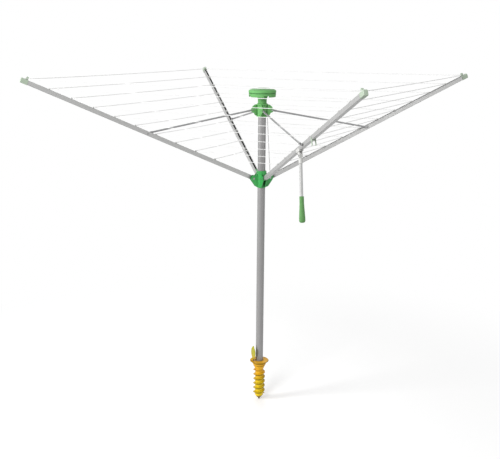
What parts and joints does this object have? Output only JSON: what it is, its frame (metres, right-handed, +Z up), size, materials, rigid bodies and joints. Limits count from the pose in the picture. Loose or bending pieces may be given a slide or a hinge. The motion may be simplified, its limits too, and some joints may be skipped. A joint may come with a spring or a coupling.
{
  "type": "rotary clothesline",
  "caption": "Umbrella-style rotary clothesline: a turning mast in a screw-in ground socket, folding arms with lines, a sliding hub, struts and a swing lever.",
  "frame": {"origin": "on the mast axis at ground level, at the underside of the ground anchor's flange", "axes": "+Z up the mast; the arm with the swing lever points along -Y (front), the others along +X, +Y and -X"},
  "size_m": [2.9666, 2.9666, 2.2206],
  "materials": {
    "mast_metal": "satin",
    "arm_metal": "satin",
    "strut_metal": "satin",
    "rivet_steel": "satin",
    "hub_green": "satin",
    "crown_green": "satin",
    "grip_green": "satin",
    "cap_grey": "satin",
    "white_plastic": "satin",
    "black_plastic": "matte",
    "anchor_yellow": "satin",
    "lid_yellow": "satin",
    "line_white": "satin",
    "cord_grey": "matte"
  },
  "bodies": {
    "anchor": {"ground_anchor": "anchor_yellow", "lid_pin": "rivet_steel"},
    "lid": {"anchor_lid": "lid_yellow"},
    "mast": {"mast_tube": "mast_metal", "mast_foot": "black_plastic", "upper_hub": "crown_green", "upper_hub_pins": "rivet_steel", "crown_neck": "crown_green", "crown_cap": "crown_green", "crown_plug": "black_plastic"},
    "lower_hub_slider": {"lower_hub": "hub_green", "lower_hub_pins": "rivet_steel", "draw_cord": "cord_grey"},
    "front_arm": {"arm_profile_front": "arm_metal", "arm_root_front": "hub_green", "tip_cap_front": "cap_grey", "line_guides_front": "white_plastic", "strut_washer_front": "rivet_steel", "lines_near_front": "line_white", "lines_far_front": "line_white", "lever_bracket": "white_plastic", "lever_pin": "rivet_steel", "lever_clip": "cap_grey"},
    "right_arm": {"arm_profile_right": "arm_metal", "arm_root_right": "hub_green", "tip_cap_right": "cap_grey", "line_guides_right": "white_plastic", "strut_washer_right": "rivet_steel", "lines_near_right": "line_white", "lines_far_right": "line_white"},
    "back_arm": {"arm_profile_back": "arm_metal", "arm_root_back": "hub_green", "tip_cap_back": "cap_grey", "line_guides_back": "white_plastic", "strut_washer_back": "rivet_steel", "lines_near_back": "line_white", "lines_far_back": "line_white"},
    "left_arm": {"arm_profile_left": "arm_metal", "arm_root_left": "hub_green", "tip_cap_left": "cap_grey", "line_guides_left": "white_plastic", "strut_washer_left": "rivet_steel", "lines_near_left": "line_white", "lines_far_left": "line_white"},
    "front_strut": {"strut_front": "strut_metal", "strut_rivet_front": "rivet_steel"},
    "right_strut": {"strut_right": "strut_metal", "strut_rivet_right": "rivet_steel"},
    "back_strut": {"strut_back": "strut_metal", "strut_rivet_back": "rivet_steel"},
    "left_strut": {"strut_left": "strut_metal", "strut_rivet_left": "rivet_steel"},
    "lever": {"lever_knuckle": "white_plastic", "lever_rod": "arm_metal", "lever_grip": "grip_green"}
  },
  "joints": [
    {"name": "lid_swing", "type": "hinge", "parent": "anchor", "child": "lid", "pos_m": [-0.05, 0, 0.0105], "axis": [0, -1, 0], "range_deg": [0, 95]},
    {"name": "mast_spin", "type": "hinge", "parent": "anchor", "child": "mast", "pos_m": [0, 0, 0], "axis": [0, 0, 1], "continuous": true},
    {"name": "hub_slide", "type": "slide", "parent": "mast", "child": "lower_hub_slider", "axis": [0, 0, -1], "range_m": [0, 1.0045], "deforming": ["lines_near_front", "lines_far_front", "lines_near_right", "lines_far_right", "lines_near_back", "lines_far_back", "lines_near_left", "lines_far_left", "draw_cord"]},
    {"name": "front_arm_fold", "type": "hinge", "parent": "lower_hub_slider", "child": "front_arm", "pos_m": [0, -0.055, 1.275], "axis": [-1, 0, 0], "range_deg": [0, 61.77]},
    {"name": "right_arm_fold", "type": "hinge", "parent": "lower_hub_slider", "child": "right_arm", "pos_m": [0.055, 0, 1.275], "axis": [0, -1, 0], "range_deg": [0, 61.77]},
    {"name": "back_arm_fold", "type": "hinge", "parent": "lower_hub_slider", "child": "back_arm", "pos_m": [0, 0.055, 1.275], "axis": [1, 0, 0], "range_deg": [0, 61.77]},
    {"name": "left_arm_fold", "type": "hinge", "parent": "lower_hub_slider", "child": "left_arm", "pos_m": [-0.055, 0, 1.275], "axis": [0, 1, 0], "range_deg": [0, 61.77]},
    {"name": "front_strut_fold", "type": "hinge", "parent": "mast", "child": "front_strut", "pos_m": [0, -0.06, 1.713], "axis": [1, 0, 0], "range_deg": [0, 75.54]},
    {"name": "right_strut_fold", "type": "hinge", "parent": "mast", "child": "right_strut", "pos_m": [0.06, 0, 1.713], "axis": [0, 1, 0], "range_deg": [0, 75.54]},
    {"name": "back_strut_fold", "type": "hinge", "parent": "mast", "child": "back_strut", "pos_m": [0, 0.06, 1.713], "axis": [-1, 0, 0], "range_deg": [0, 75.54]},
    {"name": "left_strut_fold", "type": "hinge", "parent": "mast", "child": "left_strut", "pos_m": [-0.06, 0, 1.713], "axis": [0, -1, 0], "range_deg": [0, 75.54]},
    {"name": "lever_swing", "type": "hinge", "parent": "front_arm", "child": "lever", "pos_m": [0, -0.68297, 1.51723], "axis": [-1, 0, 0], "range_deg": [0, 106.33]}
  ],
  "couplings": [
    {"joint": "front_arm_fold", "follows": "hub_slide", "rad_per_m": 1.0715},
    {"joint": "right_arm_fold", "follows": "hub_slide", "rad_per_m": 1.0715},
    {"joint": "back_arm_fold", "follows": "hub_slide", "rad_per_m": 1.0715},
    {"joint": "left_arm_fold", "follows": "hub_slide", "rad_per_m": 1.0715},
    {"joint": "front_strut_fold", "follows": "hub_slide", "rad_per_m": 1.3108},
    {"joint": "right_strut_fold", "follows": "hub_slide", "rad_per_m": 1.3108},
    {"joint": "back_strut_fold", "follows": "hub_slide", "rad_per_m": 1.3108},
    {"joint": "left_strut_fold", "follows": "hub_slide", "rad_per_m": 1.3108}
  ]
}
